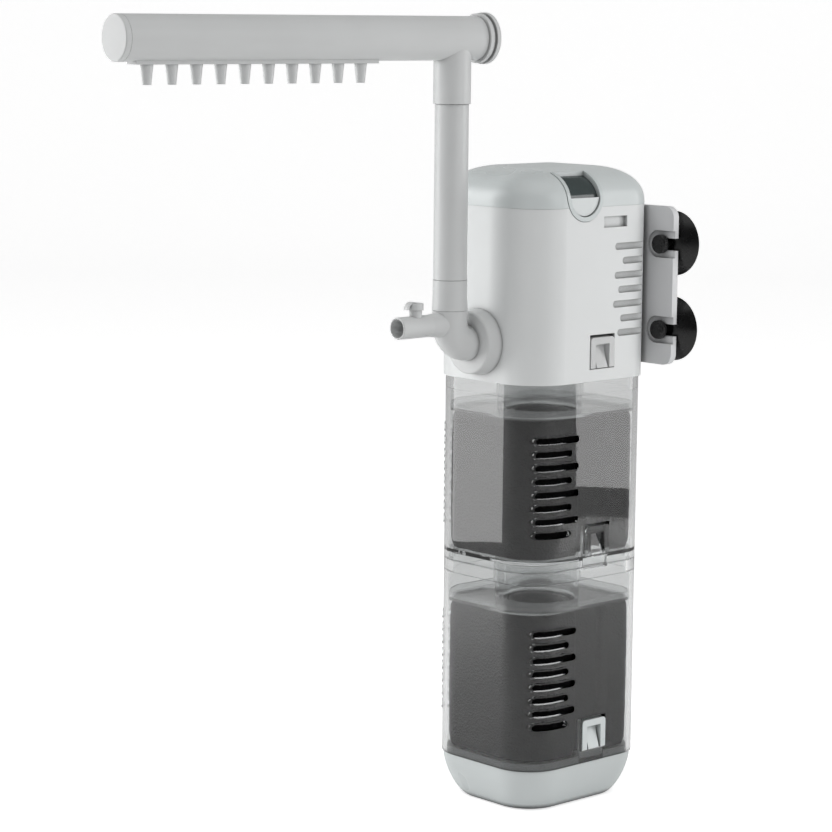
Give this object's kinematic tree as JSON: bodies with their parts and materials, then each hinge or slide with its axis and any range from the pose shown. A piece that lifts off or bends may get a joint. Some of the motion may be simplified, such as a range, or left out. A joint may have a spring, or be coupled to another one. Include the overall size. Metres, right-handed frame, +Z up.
{
  "type": "internal power filter",
  "caption": "Upright submersible filter: pump head over two clear sponge cups, with a swivelling riser and spray bar in front and suction cups behind.",
  "frame": {"origin": "middle of the base cap's flat underside, on the body's upright axis", "axes": "+Z up; -Y towards the outlet and spray bar; +Y towards the glass and suction cups; +X the side with the slider and pocket"},
  "size_m": [0.1012, 0.2723, 0.3513],
  "materials": {
    "shell_white": "moulded white housing, fine satin",
    "shell_pale": "moulded pale blue-grey cap",
    "pipe_white": "moulded light grey-white pipe",
    "clear_plastic": "clear smoky moulded plastic",
    "window_dark": "dark glossy window",
    "latch_white": "pale moulded tongue",
    "latch_clear": "clear moulded tongue",
    "bracket_grey": "light grey moulded plate",
    "rubber_black": "soft black rubber",
    "foam_black": "open-cell black foam",
    "core_plastic": "dark moulded core",
    "pump_plastic": "dark moulded pump part",
    "ceramic": "ground white ceramic",
    "magnet": "sealed ferrite magnet",
    "lamination": "stacked steel laminations",
    "copper": "enamelled winding",
    "screw_steel": "stainless self-tapping screws"
  },
  "bodies": {
    "bracket": {"suction_bracket": "bracket_grey"},
    "power_head": {"motor_housing": "shell_white", "top_cap": "shell_pale", "slider_bezel": "shell_white", "flow_window": "window_dark", "cord_gland": "rubber_black", "pump_chamber": "pump_plastic", "impeller_cover": "pump_plastic", "shaft": "ceramic", "shaft_bushings": "rubber_black", "stator_core": "lamination", "stator_coils": "copper", "chamber_screws": "screw_steel", "upper_cup": "clear_plastic", "upper_tray": "clear_plastic", "upper_core": "core_plastic", "upper_sponge": "foam_black", "lower_cup": "clear_plastic", "lower_tray": "clear_plastic", "lower_core": "core_plastic", "lower_sponge": "foam_black", "base_cap": "shell_pale"},
    "slider": {"flow_slider": "shell_white"},
    "rotor": {"rotor_magnet": "magnet", "impeller": "pump_plastic"},
    "elbow": {"outlet_elbow": "pipe_white", "outlet_seal": "rubber_black"},
    "air_cap": {"air_valve_cap": "pipe_white"},
    "riser": {"riser_coupler": "pipe_white", "riser_tube": "pipe_white"},
    "bar": {"spray_bar": "pipe_white"},
    "end_cap": {"bar_end_cap": "pipe_white"},
    "rear_plug": {"bar_rear_plug": "pipe_white"},
    "cup_upper_right": {"suction_cup_upper_right": "rubber_black"},
    "cup_upper_left": {"suction_cup_upper_left": "rubber_black"},
    "cup_lower_right": {"suction_cup_lower_right": "rubber_black"},
    "cup_lower_left": {"suction_cup_lower_left": "rubber_black"},
    "base_latch_right": {"base_latch_right": "latch_white"},
    "base_latch_left": {"base_latch_left": "latch_white"},
    "mid_latch_right": {"mid_latch_right": "latch_clear"},
    "mid_latch_left": {"mid_latch_left": "latch_clear"},
    "head_latch_right": {"head_latch_right": "latch_clear"},
    "head_latch_left": {"head_latch_left": "latch_clear"}
  },
  "joints": [
    {"name": "filter_lift", "type": "slide", "parent": "bracket", "child": "power_head", "axis": [0, 0, 1], "range_m": [0, 0.045]},
    {"name": "flow_slide", "type": "slide", "parent": "power_head", "child": "slider", "axis": [0, 0, 1], "range_m": [0, 0.006]},
    {"name": "rotor_spin", "type": "hinge", "parent": "power_head", "child": "rotor", "pos_m": [0, 0, 0.2365], "axis": [0, 0, 1], "continuous": true},
    {"name": "elbow_swivel", "type": "hinge", "parent": "power_head", "child": "elbow", "pos_m": [0, -0.0445, 0.209], "axis": [0, 1, 0], "range_deg": [-90, 90]},
    {"name": "air_cap_turn", "type": "hinge", "parent": "elbow", "child": "air_cap", "pos_m": [0, -0.0757, 0.2266], "axis": [0, 0, 1], "range_deg": [-90, 90]},
    {"name": "riser_pull", "type": "slide", "parent": "elbow", "child": "riser", "axis": [0, 0, 1], "range_m": [0, 0.008]},
    {"name": "bar_swivel", "type": "hinge", "parent": "riser", "child": "bar", "pos_m": [0, -0.0558, 0.3125], "axis": [0, 0, 1], "continuous": true},
    {"name": "end_cap_pull", "type": "slide", "parent": "bar", "child": "end_cap", "axis": [-0.0785, -0.9969, 0], "range_m": [0, 0.012]},
    {"name": "rear_plug_pull", "type": "slide", "parent": "bar", "child": "rear_plug", "axis": [0.0785, 0.9969, 0], "range_m": [0, 0.012]},
    {"name": "cup_upper_right_slide", "type": "slide", "parent": "bracket", "child": "cup_upper_right", "axis": [1, 0, 0], "range_m": [0, 0.014]},
    {"name": "cup_upper_left_slide", "type": "slide", "parent": "bracket", "child": "cup_upper_left", "axis": [-1, 0, 0], "range_m": [0, 0.014]},
    {"name": "cup_lower_right_slide", "type": "slide", "parent": "bracket", "child": "cup_lower_right", "axis": [1, 0, 0], "range_m": [0, 0.014]},
    {"name": "cup_lower_left_slide", "type": "slide", "parent": "bracket", "child": "cup_lower_left", "axis": [-1, 0, 0], "range_m": [0, 0.014]},
    {"name": "base_latch_right_press", "type": "hinge", "parent": "power_head", "child": "base_latch_right", "pos_m": [0.02985, 0.0042, 0.0219], "axis": [0, -1, 0], "range_deg": [0, 7], "stiffness_Nm_per_rad": 0.05},
    {"name": "base_latch_left_press", "type": "hinge", "parent": "power_head", "child": "base_latch_left", "pos_m": [-0.02985, 0.0042, 0.0219], "axis": [0, 1, 0], "range_deg": [0, 7], "stiffness_Nm_per_rad": 0.05},
    {"name": "mid_latch_right_press", "type": "hinge", "parent": "power_head", "child": "mid_latch_right", "pos_m": [0.02985, 0.0042, 0.1097], "axis": [0, -1, 0], "range_deg": [0, 7], "stiffness_Nm_per_rad": 0.05},
    {"name": "mid_latch_left_press", "type": "hinge", "parent": "power_head", "child": "mid_latch_left", "pos_m": [-0.02985, 0.0042, 0.1097], "axis": [0, 1, 0], "range_deg": [0, 7], "stiffness_Nm_per_rad": 0.05},
    {"name": "head_latch_right_press", "type": "hinge", "parent": "power_head", "child": "head_latch_right", "pos_m": [0.03035, 0.0042, 0.1938], "axis": [0, -1, 0], "range_deg": [0, 7], "stiffness_Nm_per_rad": 0.05},
    {"name": "head_latch_left_press", "type": "hinge", "parent": "power_head", "child": "head_latch_left", "pos_m": [-0.03035, 0.0042, 0.1938], "axis": [0, 1, 0], "range_deg": [0, 7], "stiffness_Nm_per_rad": 0.05}
  ]
}
